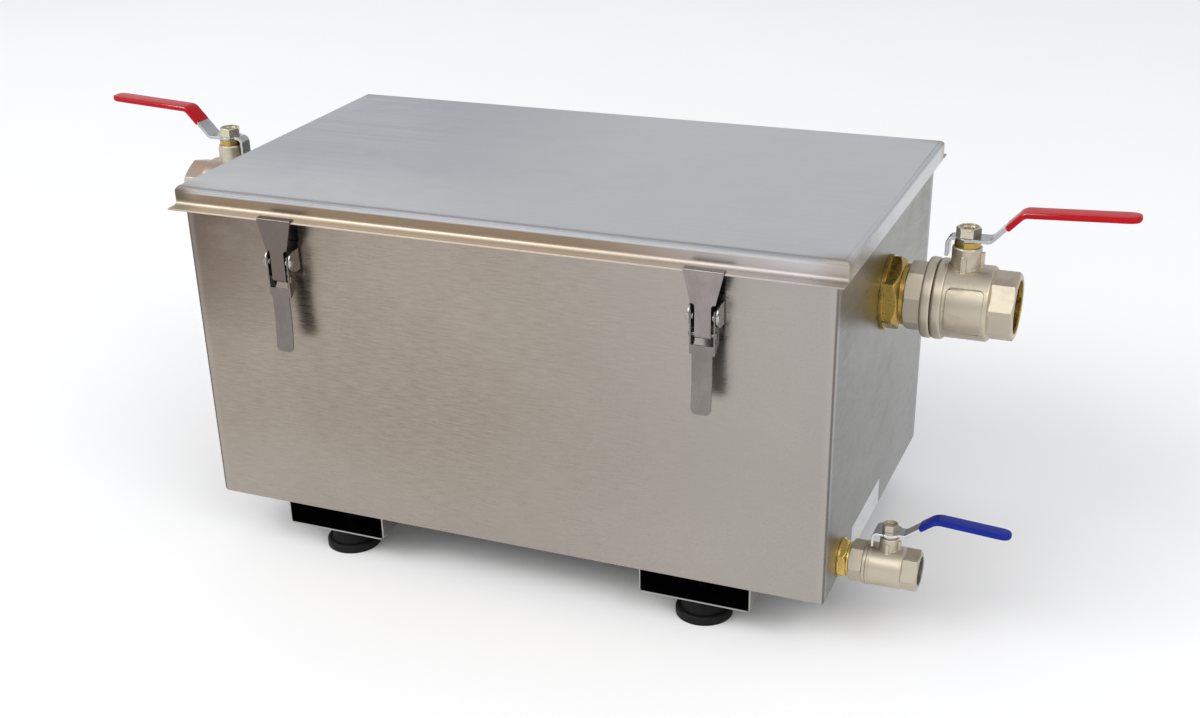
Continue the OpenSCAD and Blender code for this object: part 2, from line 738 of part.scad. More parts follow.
module washer(b) {
    difference() {
        rod_x(b[HEX] / 2 - 0.5, -sheet - washer_height, -sheet);
        rod_x(b[TAIL] + bolt_gap, -sheet - washer_height - 1, 0);
    }
}
module wall_washers() {
    color(SEAL) {
        at_inlet() washer(MAIN_BUSHING);
        at_outlet() washer(MAIN_BUSHING);
        at_drain() washer(DRAIN_BUSHING);
    }
}
module backnut(b) {
    translate([-sheet - washer_height, 0, 0]) rotate([0, -90, 0]) rotate([0, 0, 30])
        nut(b[HEX], b[BACKNUT], b[TAIL] + fit_gap);
}
module backnuts() {
    color(BRASS) {
        at_inlet() backnut(MAIN_BUSHING);
        at_outlet() backnut(MAIN_BUSHING);
        at_drain() backnut(DRAIN_BUSHING);
    }
}

// Ball valves, drawn with x = 0 at the inlet end, the pipe along X and the stem pointing up

module inlet_place() { at_inlet() translate([main_bushing_out, 0, 0]) children(); }
module outlet_place() { at_outlet() translate([main_bushing_out, 0, 0]) children(); }
module drain_place() { at_drain() translate([drain_bushing_out, 0, 0]) children(); }

function joint_x(v) = v[CAP_END] + v[RING_W];
function shoulder_x(v) = v[LENGTH] - v[BODY_END];
// The ring seats stand against the ball, from just outside the waterway to the ends of the chamber
function seat_in(v) = sqrt(pow(v[BALL], 2) - pow(v[WAY], 2)) - v[SEAT] / 3;
function seat_out(v) = seat_in(v) + v[SEAT];
function chamber_r(v) = v[BALL] + 0.6 * v[SEAT];
function plate_z(v) = v[BOSS_TOP] + v[GLAND] + turn_gap;

// Ring with round edges
module ring_section(v, x0, x1, r) {
    edge = v[RING_W] / 4;
    near = edge * (1 - cos(45));
    turned_x([[0, x0], [r - edge, x0], [r - near, x0 + near], [r, x0 + edge],
        [r, x1 - edge], [r - near, x1 - near], [r - edge, x1], [0, x1]]);
}
module valve_cap(v) {
    joint = joint_x(v);
    spigot_end = v[STEM_X] - seat_out(v);
    color(NICKEL) difference() {
        union() {
            valve_end(v, 0, v[CAP_END] + v[RING_W] / 2, 0, v[CAP_TURN]);
            ring_section(v, v[CAP_END], joint, v[RING]);
            rod_x(chamber_r(v) - fit_gap, joint - 1, spigot_end);
        }
        rod_x(v[PORT], -1, v[CAP_END] + 3);
        rod_x(v[WAY], 0, spigot_end + 1);
    }
}
// Octagon or hexagon end with a turned chamfer at its open end
module valve_end(v, x0, x1, open_x, turn) {
    outer_r = v[FLATS] / 2 / cos(180 / v[SIDES]) + 1;
    face_r = FACE_SHARE * v[FLATS] / 2;
    chamfer = (outer_r - face_r) / 2;
    intersection() {
        prism_x(v[FLATS], v[SIDES], x0, x1, turn);
        if (open_x > x0) turned_x([[0, x0], [outer_r, x0], [outer_r, x1 - chamfer], [face_r, x1], [0, x1]]);
        else turned_x([[0, x0], [face_r, x0], [outer_r, x0 + chamfer], [outer_r, x1], [0, x1]]);
    }
}
module valve_body(v) {
    joint = joint_x(v);
    shoulder = shoulder_x(v);
    chamber_end = v[STEM_X] + seat_out(v);
    step = v[BARREL] / 12;
    lug = 0.8 * v[STEM];
    color(NICKEL) difference() {
        union() {
            ring_section(v, joint, joint + v[RING_W], v[RING]);
            turned_x([[0, joint], [v[BARREL], joint], [v[BARREL], shoulder - step],
                [v[BARREL] - step / 3, shoulder - step / 3], [v[FLATS] / 2 - step / 3, shoulder + step / 2],
                [0, shoulder + step / 2]]);
            valve_end(v, shoulder, v[LENGTH], v[LENGTH], v[BODY_TURN]);
            if (v[SIDES] == 8) side_pads(v, joint + v[RING_W] + step, shoulder - 1.6 * step);
            translate([v[STEM_X], 0, 0]) rotate_extrude() polygon([[0, 0], [v[BOSS], 0],
                [v[BOSS], v[BOSS_TOP] - 1], [v[BOSS] - 1, v[BOSS_TOP]], [0, v[BOSS_TOP]]]);
            translate([v[STEM_X] - lug / 2, -v[BOSS] - lug / 3, v[BARREL] - lug])
                cube([lug, v[BOSS], 0.6 * (v[BOSS_TOP] - v[BARREL]) + lug]);
            translate([v[STEM_X], -lug / 2, v[BARREL] - lug])
                cube([v[BOSS] + lug / 2, lug, v[BOSS_TOP] - v[BARREL]]);
        }
        rod_x(chamber_r(v), joint - 1, chamber_end);
        rod_x(v[WAY], joint, v[LENGTH]);
        rod_x(v[PORT], shoulder + 1, v[LENGTH] + 1);
        translate([v[STEM_X], 0, 0]) cylinder(r = v[STEM] + fit_gap, h = v[BOSS_TOP] + 1);
        translate([v[STEM_X], 0, v[BOSS_TOP] - v[GLAND]]) cylinder(r = gland_r(v) + fit_gap, h = v[GLAND] + 1);
    }
}
// Raised pads with round corners on the front and the back of the barrel, from x0 to x1
module side_pads(v, x0, x1) {
    half = 0.62 * v[BARREL];
    corner = v[BARREL] / 8;
    intersection() {
        rod_x(v[BARREL] + v[BARREL] / 30, x0, x1);
        along_y(3 * v[BARREL]) {
            translate([x0, corner - half]) square([x1 - x0, 2 * (half - corner)]);
            translate([x0 + corner, -half]) square([x1 - x0 - 2 * corner, 2 * half]);
            for (x = [x0 + corner, x1 - corner], z = [corner - half, half - corner]) translate([x, z])
                circle(corner);
        }
    }
}
function gland_r(v) = (v[STEM] + v[BOSS]) / 2 - 0.5;
module ball(v) {
    color(BRIGHT) translate([v[STEM_X], 0, 0]) difference() {
        sphere(v[BALL]);
        rod_x(v[WAY], -v[BALL] - 1, v[BALL] + 1);
        translate([0, 0, v[BALL]]) cube([slot_w(v), 3 * v[BALL], slot_w(v) * 2], center = true);
    }
}
function slot_w(v) = 0.7 * v[STEM];
module seats(v) {
    color(PTFE) translate([v[STEM_X], 0, 0]) for (side = [90, -90]) rotate([0, side, 0])
        rotate_extrude() difference() {
            translate([v[WAY], seat_in(v)]) square([chamber_r(v) - fit_gap - v[WAY], v[SEAT]]);
            circle(v[BALL] + turn_gap);
        }
}
// Stem: a tongue in the slot of the ball, a shoulder in the chamber, flats in the handle and a stud for the nut
module stem(v) {
    shoulder_r = v[STEM] + 1;
    shoulder_top = sqrt(pow(chamber_r(v), 2) - pow(shoulder_r, 2)) - turn_gap;
    tongue = slot_w(v) - 0.2;
    color(BRASS) translate([v[STEM_X], 0, 0]) {
        translate([0, 0, v[BALL] - slot_w(v) + 0.2 + v[STEM] / 2])
            intersection() {
                cube([tongue, 2 * v[STEM], v[STEM]], center = true);
                cylinder(r = v[STEM], h = 2 * v[STEM], center = true);
            }
        translate([0, 0, v[BALL] + fit_gap]) cylinder(r = shoulder_r, h = shoulder_top - v[BALL] - fit_gap);
        translate([0, 0, v[BALL] + fit_gap]) cylinder(r = v[STEM], h = plate_z(v) - v[BALL] - fit_gap);
        translate([0, 0, plate_z(v)]) linear_extrude(v[BAR_T]) stem_flats(v, 0);
        translate([0, 0, plate_z(v)]) cylinder(r = stud_r(v), h = v[BAR_T] + v[NUT_H] - 1.5 * nut_dish(v));
    }
}
function stud_r(v) = 0.7 * v[STEM];
module stem_flats(v, gap) {
    intersection() {
        circle(v[STEM] + gap);
        square([3 * v[STEM], 2 * (stud_r(v) + gap)], center = true);
    }
}
module gland(v) {
    color(BRASS) translate([v[STEM_X], 0, v[BOSS_TOP]]) difference() {
        union() {
            cylinder(r = v[BOSS] - 1.5, h = v[GLAND]);
            translate([0, 0, -v[GLAND] + fit_gap]) cylinder(r = gland_r(v), h = v[GLAND]);
        }
        translate([0, 0, -v[GLAND] - 1]) cylinder(r = v[STEM] + fit_gap, h = 2 * v[GLAND] + 2);
    }
}

// Middle line of the bent handle, from its stop tab over the stem to the tip
function grip_start(v) = [v[BEND_X], 0] + 0.5 * (v[ELBOW] - [v[BEND_X], 0]);
function nose_x(v) = v[REACH] - v[GRIP_W] / 2;
function handle_line(v) = [[-v[TAB_X], -v[TAB_DROP]], [-v[TAB_X], 0], [v[BEND_X], 0], v[ELBOW],
    [nose_x(v) + v[BAR_W] / 2, v[TIP_RISE]]];
module handle_bar(v) {
    bends = [1.2 * v[BAR_T], 1.6 * v[BAR_T], v[ELBOW_R]];
    translate([v[STEM_X], 0, plate_z(v) + v[BAR_T] / 2]) intersection() {
        along_y(v[PLATE_W]) folded(handle_line(v), v[BAR_T], bends);
        linear_extrude(2 * v[REACH], center = true) {
            circle(v[PLATE_W] / 2);
            translate([-2 * v[TAB_X], -v[TAB_W] / 2]) square([2 * v[TAB_X], v[TAB_W]]);
            translate([0, -v[BAR_W] / 2]) square([nose_x(v), v[BAR_W]]);
            translate([nose_x(v), 0]) circle(v[BAR_W] / 2);
        }
    }
}
module handle(v) {
    color(BRIGHT) difference() {
        handle_bar(v);
        translate([v[STEM_X], 0, plate_z(v) - 1]) linear_extrude(v[BAR_T] + 2) stem_flats(v, fit_gap);
    }
}
// Dipped sleeve over the bar, with round edges and a half-round nose
module grip_bead(v, x, y, z) {
    translate([x, y, z]) sphere(v[GRIP_T] / 2, $fn = 20);
}
module grip_end(v, at) {
    for (side = [-1, 1]) grip_bead(v, at[0], side * (v[GRIP_W] - v[GRIP_T]) / 2, at[1]);
}
module grip_nose(v) {
    r = (v[GRIP_W] - v[GRIP_T]) / 2;
    for (a = [-90 : 30 : 90]) grip_bead(v, nose_x(v) + r * cos(a), r * sin(a), v[TIP_RISE]);
}
module grip(v, colour) {
    start = grip_start(v);
    corner = fold_corner(start, v[ELBOW], [nose_x(v), v[TIP_RISE]], v[ELBOW_R] + v[BAR_T] / 2, 0);
    line = [start, corner[0], corner[FOLD_STEPS / 2], corner[FOLD_STEPS]];
    color(colour) difference() {
        translate([v[STEM_X], 0, plate_z(v) + v[BAR_T] / 2]) {
            for (i = [0 : len(line) - 2]) hull() {
                grip_end(v, line[i]);
                grip_end(v, line[i + 1]);
            }
            hull() {
                grip_end(v, corner[FOLD_STEPS]);
                grip_nose(v);
            }
        }
        handle_bar(v);
    }
}
// Nut on the handle, with a dished top
function nut_dish(v) = 0.22 * v[NUT_H];
module handle_nut(v) {
    color(NICKEL) translate([v[STEM_X], 0, plate_z(v) + v[BAR_T]]) difference() {
        nut(v[NUT], v[NUT_H], stud_r(v) + fit_gap);
        translate([0, 0, v[NUT_H] - nut_dish(v)]) cylinder(r = 0.42 * v[NUT], h = v[NUT_H]);
    }
}

module inlet_valve_cap() { inlet_place() valve_cap(MAIN); }
module inlet_valve_body() { inlet_place() valve_body(MAIN); }
module inlet_ball() { inlet_place() ball(MAIN); }
module inlet_seats() { inlet_place() seats(MAIN); }
module inlet_stem() { inlet_place() stem(MAIN); }
module inlet_gland() { inlet_place() gland(MAIN); }
module inlet_handle() { inlet_place() handle(MAIN); }
module inlet_grip() { inlet_place() grip(MAIN, RED); }
module inlet_handle_nut() { inlet_place() handle_nut(MAIN); }
module outlet_valve_cap() { outlet_place() valve_cap(MAIN); }
module outlet_valve_body() { outlet_place() valve_body(MAIN); }
module outlet_ball() { outlet_place() ball(MAIN); }
module outlet_seats() { outlet_place() seats(MAIN); }
module outlet_stem() { outlet_place() stem(MAIN); }
module outlet_gland() { outlet_place() gland(MAIN); }
module outlet_handle() { outlet_place() handle(MAIN); }
module outlet_grip() { outlet_place() grip(MAIN, RED); }
module outlet_handle_nut() { outlet_place() handle_nut(MAIN); }
module drain_valve_cap() { drain_place() valve_cap(DRAIN); }
module drain_valve_body() { drain_place() valve_body(DRAIN); }
module drain_ball() { drain_place() ball(DRAIN); }
module drain_seats() { drain_place() seats(DRAIN); }
module drain_stem() { drain_place() stem(DRAIN); }
module drain_gland() { drain_place() gland(DRAIN); }
module drain_handle() { drain_place() handle(DRAIN); }
module drain_grip() { drain_place() grip(DRAIN, BLUE); }
module drain_handle_nut() { drain_place() handle_nut(DRAIN); }

// Baffles between the panels, and the basket that stands on the floor under the inlet

module baffle(x, side) {
    low = tank_z + sheet + baffle_floor_gap;
    high = rim_z - baffle_rim_gap;
    edge = inner_y - sheet / 2;
    color(STEEL) translate([x, 0, low]) linear_extrude(high - low)
        folded([[side * baffle_flange, -edge], [side * sheet / 2, -edge], [side * sheet / 2, edge],
            [side * baffle_flange, edge]], sheet, sheet);
}
module inlet_baffle() { baffle(-inner_x + inlet_bay, 1); }
module outlet_baffle() { baffle(inner_x - outlet_bay, -1); }

module solids_basket() {
    length = inlet_bay - 2 * basket_gap;
    width = 2 * (inner_y - basket_gap);
    height = tank_height - inlet_height - basket_drop - sheet;
    slots = floor(width / basket_pitch) - 1;
    color(STEEL) translate([-inner_x + inlet_bay / 2, 0, tank_z + sheet]) difference() {
        translate([-length / 2, -width / 2, 0]) cube([length, width, height]);
        translate([-length / 2 + basket_sheet, -width / 2 + basket_sheet, basket_sheet])
            cube([length - 2 * basket_sheet, width - 2 * basket_sheet, height]);
        for (i = [0 : slots - 1]) translate([0, (i - (slots - 1) / 2) * basket_pitch, 0]) {
            cube([length - 4 * basket_slot, basket_slot, 4 * basket_sheet], center = true);
            translate([0, 0, height / 2]) cube([2 * length, basket_slot, height / 2], center = true);
        }
        translate([0, 0, height - 2 * basket_pitch]) cube([length / 2, 2 * width, basket_pitch], center = true);
    }
}

tank_wrap();
front_panel();
rear_panel();
lid();
lid_seal();
channel_left();
channel_right();
rubber_feet();
foot_bolts();
foot_nuts();
latch_rivets();
latch_base_front_left();
latch_lever_front_left();
latch_hook_front_left();
latch_base_front_right();
latch_lever_front_right();
latch_hook_front_right();
latch_base_rear_left();
latch_lever_rear_left();
latch_hook_rear_left();
latch_base_rear_right();
latch_lever_rear_right();
latch_hook_rear_right();
inlet_bushing();
outlet_bushing();
drain_bushing();
wall_washers();
backnuts();
inlet_valve_cap();
inlet_valve_body();
inlet_ball();
inlet_seats();
inlet_stem();
inlet_gland();
inlet_handle();
inlet_grip();
inlet_handle_nut();
outlet_valve_cap();
outlet_valve_body();
outlet_ball();
outlet_seats();
outlet_stem();
outlet_gland();
outlet_handle();
outlet_grip();
outlet_handle_nut();
drain_valve_cap();
drain_valve_body();
drain_ball();
drain_seats();
drain_stem();
drain_gland();
drain_handle();
drain_grip();
drain_handle_nut();
inlet_baffle();
outlet_baffle();
solids_basket();
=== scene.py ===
import math
import bpy
from mathutils import Matrix, Vector


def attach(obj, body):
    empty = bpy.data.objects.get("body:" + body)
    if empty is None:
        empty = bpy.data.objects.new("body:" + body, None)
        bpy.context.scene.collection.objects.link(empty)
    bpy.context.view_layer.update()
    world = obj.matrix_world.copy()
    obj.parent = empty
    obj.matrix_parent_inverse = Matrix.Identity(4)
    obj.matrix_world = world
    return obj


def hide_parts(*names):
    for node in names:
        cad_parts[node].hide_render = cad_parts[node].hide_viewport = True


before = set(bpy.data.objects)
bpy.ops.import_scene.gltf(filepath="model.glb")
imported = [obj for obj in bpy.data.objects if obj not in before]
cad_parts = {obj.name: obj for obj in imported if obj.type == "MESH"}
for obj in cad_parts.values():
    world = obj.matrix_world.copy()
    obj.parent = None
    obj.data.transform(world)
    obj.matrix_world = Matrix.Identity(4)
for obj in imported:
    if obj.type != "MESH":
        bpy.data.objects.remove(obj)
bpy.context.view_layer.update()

# Studio: a pale floor under a soft grey sky, with a large softbox at the left front and weaker ones round it.
# The camera stands a little above the lid and to the right of the front, as the photograph was taken.
scene = bpy.context.scene
scene.view_settings.view_transform = "Standard"
bpy.ops.object.select_all(action="DESELECT")


def add_node(tree, kind, settings=None, inputs=None):
    """One shader node: settings are its own properties, inputs are values or links for its sockets."""
    node = tree.nodes.new(kind)
    for name, value in (settings or {}).items():
        setattr(node, name, value)
    for key, value in (inputs or {}).items():
        socket = node.inputs[key]
        if isinstance(value, bpy.types.NodeSocket):
            tree.links.new(value, socket)
        else:
            socket.default_value = value
    return node


azimuth, elevation, roll = math.radians(24.55), math.radians(26.98), math.radians(-2.01)
camera_place, camera_lens, camera_shift = (0.5646, -1.2716, 0.7554), 48.153, (0.033, 0.0872)
bpy.ops.object.camera_add()
camera = bpy.context.object
camera.name = "studio_camera"
camera.data.sensor_fit = "HORIZONTAL"
camera.data.sensor_width = 36
camera.data.lens = camera_lens
camera.data.shift_x, camera.data.shift_y = camera_shift
camera.data.clip_end = 60
camera.matrix_world = (
    Matrix.Translation(camera_place)
    @ Matrix.Rotation(azimuth, 4, "Z")
    @ Matrix.Rotation(math.pi / 2 - elevation, 4, "X")
    @ Matrix.Rotation(roll, 4, "Z")
)
scene.camera = camera

low_sky, middle_sky, high_sky = (0.50, 0.50, 0.51, 1), (0.80, 0.81, 0.84, 1), (0.62, 0.63, 0.65, 1)
middle_height, high_height = 0.3, 0.8
world = bpy.data.worlds.new("studio_sky")
scene.world = world
world.use_nodes = True
sky = world.node_tree
sky.nodes.clear()
direction = add_node(sky, "ShaderNodeTexCoord")
height = add_node(sky, "ShaderNodeSeparateXYZ", None, {"Vector": direction.outputs["Generated"]})
fade = add_node(sky, "ShaderNodeValToRGB", None, {"Fac": height.outputs["Z"]})
fade.color_ramp.elements[0].color = low_sky
fade.color_ramp.elements[1].color = high_sky
fade.color_ramp.elements[1].position = high_height
fade.color_ramp.elements.new(middle_height).color = middle_sky
light = add_node(sky, "ShaderNodeBackground", None, {"Color": fade.outputs["Color"], "Strength": 1.0})
add_node(sky, "ShaderNodeOutputWorld", None, {"Surface": light.outputs["Background"]})

lamp_aim = Vector((0, 0, 0.15))
for name, place, size, power, tint in (
    ("softbox_left", (-3.6, -3.8, 4.4), (4.2, 3.4), 180, (1, 1, 1)),
    ("softbox_right", (4.2, -2.6, 4.4), (3.6, 3.0), 90, (1, 1, 1)),
    ("softbox_front", (0.4, -5.2, 5.0), (4.4, 2.6), 60, (1, 0.95, 0.87)),
    ("softbox_back", (-1.9, 2.0, 0.95), (1.2, 0.6), 0.5, (1, 1, 1)),
):
    bpy.ops.object.light_add(type="AREA", location=place)
    lamp = bpy.context.object
    lamp.name = name
    lamp.data.shape = "RECTANGLE"
    lamp.data.size, lamp.data.size_y = size
    lamp.data.energy = power
    lamp.data.color = tint
    lamp.rotation_euler = (lamp_aim - Vector(place)).to_track_quat("-Z", "Y").to_euler()

floor_radius = 9
bpy.ops.mesh.primitive_circle_add(vertices=96, radius=floor_radius, fill_type="NGON", location=(0, 0, 0))
floor = bpy.context.object
floor.name = "studio_floor"
floor_paint = bpy.data.materials.new("floor_paint")
floor_paint.use_nodes = True
tree = floor_paint.node_tree
place = add_node(tree, "ShaderNodeTexCoord")
mottle = add_node(tree, "ShaderNodeTexNoise", None,
                  {"Vector": place.outputs["Object"], "Scale": 3.0, "Detail": 3.0})
shade = add_node(tree, "ShaderNodeMapRange", None,
                 {"Value": mottle.outputs["Fac"], "To Min": 0.94, "To Max": 0.97})
paint = tree.nodes["Principled BSDF"]
tree.links.new(shade.outputs["Result"], paint.inputs["Base Color"])
paint.inputs["Roughness"].default_value = 0.9
paint.inputs["Specular IOR Level"].default_value = 0.1
floor.data.materials.append(floor_paint)


# Tank: one sheet of stainless steel folded into the end walls and the floor, and two flat panels.
# The sheet is brushed lengthways; the panels are welded on and the corner welds are ground flush.
def make_group(name, ins, outs):
    """An empty node group with named sockets; ins and outs are (name, kind, start value) and (name, kind)."""
    tree = bpy.data.node_groups.new(name, "ShaderNodeTree")
    for label, kind, start in ins:
        socket = tree.interface.new_socket(label, in_out="INPUT", socket_type="NodeSocket" + kind)
        socket.default_value = start
    for label, kind in outs:
        tree.interface.new_socket(label, in_out="OUTPUT", socket_type="NodeSocket" + kind)
    return tree, tree.nodes.new("NodeGroupInput"), tree.nodes.new("NodeGroupOutput")


def place_group(tree, group, inputs):
    """One use of a node group in a material."""
    return add_node(tree, "ShaderNodeGroup", {"node_tree": group}, inputs)


grain_group, given, result = make_group(
    "brushed_grain",
    [("Vector", "Vector", (0, 0, 0)), ("Stretch", "Vector", (6, 700, 700))],
    [("Streak", "Float"), ("Cloud", "Float")],
)
drawn = add_node(grain_group, "ShaderNodeVectorMath", {"operation": "MULTIPLY"},
                 {0: given.outputs["Vector"], 1: given.outputs["Stretch"]})
fine = add_node(grain_group, "ShaderNodeTexNoise", None,
                {"Vector": drawn.outputs["Vector"], "Scale": 1.0, "Detail": 5.0, "Roughness": 0.62})
broad = add_node(grain_group, "ShaderNodeTexNoise", None,
                 {"Vector": given.outputs["Vector"], "Scale": 5.5, "Detail": 3.0, "Roughness": 0.5})
grain_group.links.new(fine.outputs["Fac"], result.inputs["Streak"])
grain_group.links.new(broad.outputs["Fac"], result.inputs["Cloud"])

smudge_group, given, result = make_group(
    "handling_marks",
    [("Vector", "Vector", (0, 0, 0)), ("Scale", "Float", 16.0)],
    [("Smudge", "Float")],
)
patch = add_node(smudge_group, "ShaderNodeTexNoise", None,
                 {"Vector": given.outputs["Vector"], "Scale": given.outputs["Scale"], "Detail": 6.0,
                  "Roughness": 0.7, "Distortion": 0.6})
film = add_node(smudge_group, "ShaderNodeMapRange", {"interpolation_type": "SMOOTHSTEP"},
                {"Value": patch.outputs["Fac"], "From Min": 0.46, "From Max": 0.72})
smudge_group.links.new(film.outputs["Result"], result.inputs["Smudge"])


def new_material(name):
    """A material with its tree, its shader and its Object coordinates."""
    material = bpy.data.materials.new(name)
    material.use_nodes = True
    tree = material.node_tree
    place = add_node(tree, "ShaderNodeTexCoord").outputs["Object"]
    return material, tree, tree.nodes["Principled BSDF"], place


def axes(tree, place):
    """The three coordinates of a place."""
    return tuple(add_node(tree, "ShaderNodeSeparateXYZ", None, {"Vector": place}).outputs)


def smudges(tree, place, scale):
    """Handling marks of one scale."""
    return place_group(tree, smudge_group, {"Vector": place, "Scale": scale}).outputs["Smudge"]


def span(tree, value, low, high, to_low, to_high):
    """A value brought smoothly from one range to another."""
    node = add_node(tree, "ShaderNodeMapRange", {"interpolation_type": "SMOOTHSTEP"},
                    {"Value": value, "From Min": low, "From Max": high, "To Min": to_low, "To Max": to_high})
    return node.outputs["Result"]


def reckon(tree, way, *values):
    """A Math node: way is its operation, values are numbers or links."""
    return add_node(tree, "ShaderNodeMath", {"operation": way}, dict(enumerate(values))).outputs[0]


def apart(tree, value, middle):
    """How far a value is from a middle, to either side."""
    return reckon(tree, "ABSOLUTE", reckon(tree, "SUBTRACT", value, middle))


def blend_colours(tree, share, first, second):
    """A colour between first and second by a share that changes over the surface."""
    node = add_node(tree, "ShaderNodeMix", {"data_type": "RGBA", "clamp_factor": True})
    for socket, value in zip((node.inputs[0], node.inputs[6], node.inputs[7]), (share, first, second)):
        if isinstance(value, bpy.types.NodeSocket):
            tree.links.new(value, socket)
        else:
            socket.default_value = value
    return node.outputs[2]


def lay_tints(tree, shader, colour, *tints):
    """The shader's colour: each tint is a share over the surface and the colour that it brings in."""
    for share, tint in tints:
        colour = blend_colours(tree, share, colour, tint)
    tree.links.new(colour, shader.inputs["Base Color"])


def raise_surface(tree, shader, height, strength, distance):
    """Fine relief of the surface from a height value."""
    bump = add_node(tree, "ShaderNodeBump", None,
                    {"Height": height, "Strength": strength, "Distance": distance})
    tree.links.new(bump.outputs["Normal"], shader.inputs["Normal"])


def brushed_steel(name, pale, deep, stretch, smooth, dull, relief):
    """Brushed stainless steel: pale and deep are the colours of the grain, smooth and dull its roughness."""
    film_dulls, grain_depth = 0.06, 0.0004
    material, tree, steel, place = new_material(name)
    steel.inputs["Metallic"].default_value = 1.0
    grain = place_group(tree, grain_group, {"Vector": place, "Stretch": stretch})
    touched = place_group(tree, smudge_group, {"Vector": place})
    colour = blend_colours(tree, span(tree, grain.outputs["Streak"], 0.3, 0.7, 0, 1), deep, pale)
    colour = blend_colours(tree, span(tree, grain.outputs["Cloud"], 0.3, 0.7, 0, 0.25), colour, deep)
    tree.links.new(colour, steel.inputs["Base Color"])
    rough = span(tree, grain.outputs["Streak"], 0.25, 0.75, smooth, dull)
    rough = reckon(tree, "MULTIPLY_ADD", touched.outputs["Smudge"], film_dulls, rough)
    tree.links.new(rough, steel.inputs["Roughness"])
    raise_surface(tree, steel, grain.outputs["Streak"], relief, grain_depth)
    return material, tree, steel, place, colour


def dress(nodes, material, edge=0.0):
    """Give CAD nodes a material and, where edge is more than 0, broken edges of that size in metres."""
    for name in nodes:
        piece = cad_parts[name]
        piece.data.materials.clear()
        piece.data.materials.append(material)
        if edge:
            join = piece.modifiers.new("join", "WELD")
            join.merge_threshold = 0.000005
            flat = piece.modifiers.new("flat", "DECIMATE")
            flat.decimate_type = "DISSOLVE"
            flat.angle_limit = math.radians(0.5)
            broken = piece.modifiers.new("broken_edge", "BEVEL")
            broken.width = edge
            broken.segments = 2
            broken.limit_method = "ANGLE"
            broken.angle_limit = math.radians(35)
            broken.use_clamp_overlap = False
            broken.harden_normals = False
            even = piece.modifiers.new("even", "WEIGHTED_NORMAL")
            even.weight = 80


sheet_edge = 0.0004
# Where the painted shade beside each latch lies on the panel, and how wide and soft it is.
latch_x, shade_shift, shade_half, shade_blur = 0.1915, 0.004, 0.0070, 0.0095
panel_steel, tree, steel, place, colour = brushed_steel(
    "panel_steel", (0.360, 0.311, 0.257, 1), (0.282, 0.239, 0.195, 1), (60, 60, 720), 0.25, 0.33, 0.05)
along, _, up = axes(tree, place)
aside = reckon(tree, "ABSOLUTE", along)
drift = place_group(tree, grain_group, {"Vector": place}).outputs["Cloud"]
# Painted reflection: the panel is paler and cooler toward the outlet end, and dark brown toward its upper
# corner at the inlet end.
slant = reckon(tree, "MULTIPLY_ADD", up, -1.15, reckon(tree, "MULTIPLY_ADD", drift, 0.16, along))
painted_pale_end = span(tree, along, -0.08, 0.27, 0, 0.8)
painted_dark_corner = span(tree, slant, -0.60, -0.37, 0.95, 0)
rubbed = reckon(tree, "MULTIPLY", smudges(tree, place, 7.0), 0.22)
# Painted light: the panel is paler near its foot.
painted_pale_foot = span(tree, up, 0.05, 0.17, 0.42, 0)
ground_strip = span(tree, aside, 0.2840, 0.2895, 0, 0.2)
weld_seam = span(tree, aside, 0.2903, 0.2913, 0, 0.75)
# Painted shade: a dark patch on the panel beside and behind each latch, standing in for its shadow and dark
# reflection.
beside_latch = apart(tree, apart(tree, along, shade_shift), latch_x)
behind_latch = span(tree, beside_latch, shade_half, shade_blur, 1, 0)
latch_height = reckon(tree, "MULTIPLY", span(tree, up, 0.236, 0.295, 0, 1),
                      span(tree, up, 0.318, 0.331, 1, 0))
painted_latch_shade = reckon(tree, "MULTIPLY", reckon(tree, "MULTIPLY", behind_latch, latch_height), 0.92)
lay_tints(tree, steel, colour,
          (painted_pale_end, (0.375, 0.355, 0.335, 1)),
          (painted_dark_corner, (0.112, 0.080, 0.063, 1)),
          (rubbed, (0.42, 0.385, 0.35, 1)),
          (painted_pale_foot, (0.44, 0.41, 0.375, 1)),
          (ground_strip, (0.46, 0.445, 0.425, 1)),
          (weld_seam, (0.10, 0.078, 0.062, 1)),
          (painted_latch_shade, (0.034, 0.028, 0.024, 1)))
dress(["front_panel", "rear_panel"], panel_steel, sheet_edge)

wall_steel, tree, steel, place, colour = brushed_steel(
    "wall_steel", (0.255, 0.251, 0.233, 1), (0.210, 0.206, 0.192, 1), (60, 60, 520), 0.26, 0.38, 0.06)
_, across, up = axes(tree, place)
# Painted shade darkens the wall toward its front and rear edges, and painted light makes it paler near its
# foot.
from_middle = reckon(tree, "ABSOLUTE", across)
painted_shade_side = span(tree, from_middle, 0.085, 0.155, 0, 0.6)
painted_pale_foot = span(tree, up, 0.05, 0.20, 0.45, 0)
ground_strip = span(tree, from_middle, 0.1585, 0.1595, 0, 0.6)
lay_tints(tree, steel, colour,
          (painted_shade_side, (0.20, 0.195, 0.185, 1)),
          (painted_pale_foot, (0.37, 0.375, 0.365, 1)),
          (ground_strip, (0.41, 0.43, 0.46, 1)))
dress(["tank_wrap"], wall_steel, sheet_edge)

